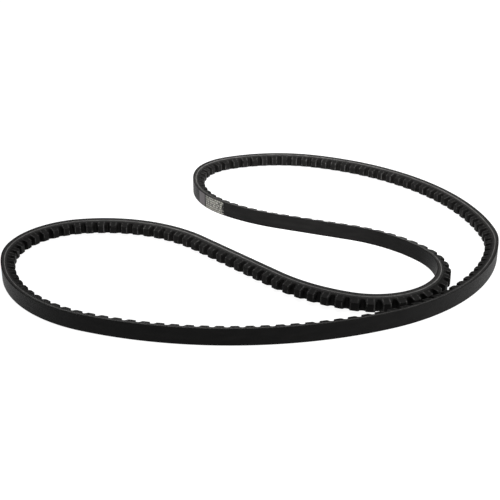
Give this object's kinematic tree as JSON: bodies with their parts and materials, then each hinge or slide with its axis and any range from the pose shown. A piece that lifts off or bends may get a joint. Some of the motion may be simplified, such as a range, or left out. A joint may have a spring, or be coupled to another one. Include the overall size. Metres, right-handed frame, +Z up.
{
  "type": "v belt",
  "caption": "Raw-edge moulded-cog narrow V-belt of bonded rubber, cord and fabric layers, standing on edge in a loose kidney-shaped fold with its cogs inside.",
  "frame": {"origin": "middle of the belt's outline, on the surface it stands on", "axes": "+Z up, across the width of the belt; +X along the longest side of its lay, to the right; +Y away from the front run"},
  "size_m": [0.3042, 0.2748, 0.01],
  "materials": {
    "cover_fabric": "dark rubberised cloth, fine weave, satin",
    "cushion_rubber": "cut raw edge, matte",
    "tensile_cord": "twisted polyester cord, cut open at the flanks",
    "cord_bed_rubber": "fibre-loaded, cut raw edge, matte",
    "base_rubber": "moulded cogs, matte with dusty edges",
    "label_print": "thin printed film, faded"
  },
  "bodies": {
    "front_run": {"front_run_back_cover": "cover_fabric", "front_run_cushion": "cushion_rubber", "front_run_tensile_cord": "tensile_cord", "front_run_cord_bed": "cord_bed_rubber", "front_run_cogs": "base_rubber"},
    "right_bend": {"right_bend_back_cover": "cover_fabric", "right_bend_cushion": "cushion_rubber", "right_bend_tensile_cord": "tensile_cord", "right_bend_cord_bed": "cord_bed_rubber", "right_bend_cogs": "base_rubber"},
    "rear_loop": {"rear_loop_back_cover": "cover_fabric", "rear_loop_cushion": "cushion_rubber", "rear_loop_tensile_cord": "tensile_cord", "rear_loop_cord_bed": "cord_bed_rubber", "rear_loop_cogs": "base_rubber", "size_label": "label_print"},
    "fold": {"fold_back_cover": "cover_fabric", "fold_cushion": "cushion_rubber", "fold_tensile_cord": "tensile_cord", "fold_cord_bed": "cord_bed_rubber", "fold_cogs": "base_rubber"},
    "fold_end": {"fold_end_back_cover": "cover_fabric", "fold_end_cushion": "cushion_rubber", "fold_end_tensile_cord": "tensile_cord", "fold_end_cord_bed": "cord_bed_rubber", "fold_end_cogs": "base_rubber"},
    "inner_end": {"inner_end_back_cover": "cover_fabric", "inner_end_cushion": "cushion_rubber", "inner_end_tensile_cord": "tensile_cord", "inner_end_cord_bed": "cord_bed_rubber", "inner_end_cogs": "base_rubber"},
    "inner_bend": {"inner_bend_back_cover": "cover_fabric", "inner_bend_cushion": "cushion_rubber", "inner_bend_tensile_cord": "tensile_cord", "inner_bend_cord_bed": "cord_bed_rubber", "inner_bend_cogs": "base_rubber"},
    "left_loop": {"left_loop_back_cover": "cover_fabric", "left_loop_cushion": "cushion_rubber", "left_loop_tensile_cord": "tensile_cord", "left_loop_cord_bed": "cord_bed_rubber", "left_loop_cogs": "base_rubber"},
    "left_bend": {"left_bend_back_cover": "cover_fabric", "left_bend_cushion": "cushion_rubber", "left_bend_tensile_cord": "tensile_cord", "left_bend_cord_bed": "cord_bed_rubber", "left_bend_cogs": "base_rubber"}
  },
  "joints": [
    {"name": "right_bend_flex", "type": "hinge", "parent": "front_run", "child": "right_bend", "pos_m": [0.14977, -0.00553, 0.005], "axis": [0, 0, 1], "range_deg": [-15, 15], "stiffness_Nm_per_rad": 0.02},
    {"name": "rear_loop_flex", "type": "hinge", "parent": "right_bend", "child": "rear_loop", "pos_m": [0.1286, 0.06302, 0.005], "axis": [0, 0, 1], "range_deg": [-15, 15]},
    {"name": "fold_flex", "type": "hinge", "parent": "rear_loop", "child": "fold", "pos_m": [0.08051, -0.01283, 0.005], "axis": [0, 0, 1], "range_deg": [-15, 15]},
    {"name": "fold_end_flex", "type": "hinge", "parent": "fold", "child": "fold_end", "pos_m": [0.10154, -0.08177, 0.005], "axis": [0, 0, 1], "range_deg": [-15, 15]},
    {"name": "left_bend_flex", "type": "hinge", "parent": "front_run", "child": "left_bend", "pos_m": [-0.09276, -0.11967, 0.005], "axis": [0, 0, 1], "range_deg": [-15, 15], "stiffness_Nm_per_rad": 0.02},
    {"name": "left_loop_flex", "type": "hinge", "parent": "left_bend", "child": "left_loop", "pos_m": [-0.13542, -0.08425, 0.005], "axis": [0, 0, 1], "range_deg": [-15, 15]},
    {"name": "inner_bend_flex", "type": "hinge", "parent": "left_loop", "child": "inner_bend", "pos_m": [0.00129, -0.0587, 0.005], "axis": [0, 0, 1], "range_deg": [-15, 15]},
    {"name": "inner_end_flex", "type": "hinge", "parent": "inner_bend", "child": "inner_end", "pos_m": [0.04434, -0.09428, 0.005], "axis": [0, 0, 1], "range_deg": [-15, 15]}
  ],
  "couplings": [
    {"joint": "rear_loop_flex", "follows": "right_bend_flex", "ratio": -1},
    {"joint": "fold_flex", "follows": "right_bend_flex", "ratio": 1},
    {"joint": "fold_end_flex", "follows": "right_bend_flex", "ratio": -1},
    {"joint": "left_loop_flex", "follows": "left_bend_flex", "ratio": -1},
    {"joint": "inner_bend_flex", "follows": "left_bend_flex", "ratio": 1},
    {"joint": "inner_end_flex", "follows": "left_bend_flex", "ratio": -1}
  ]
}
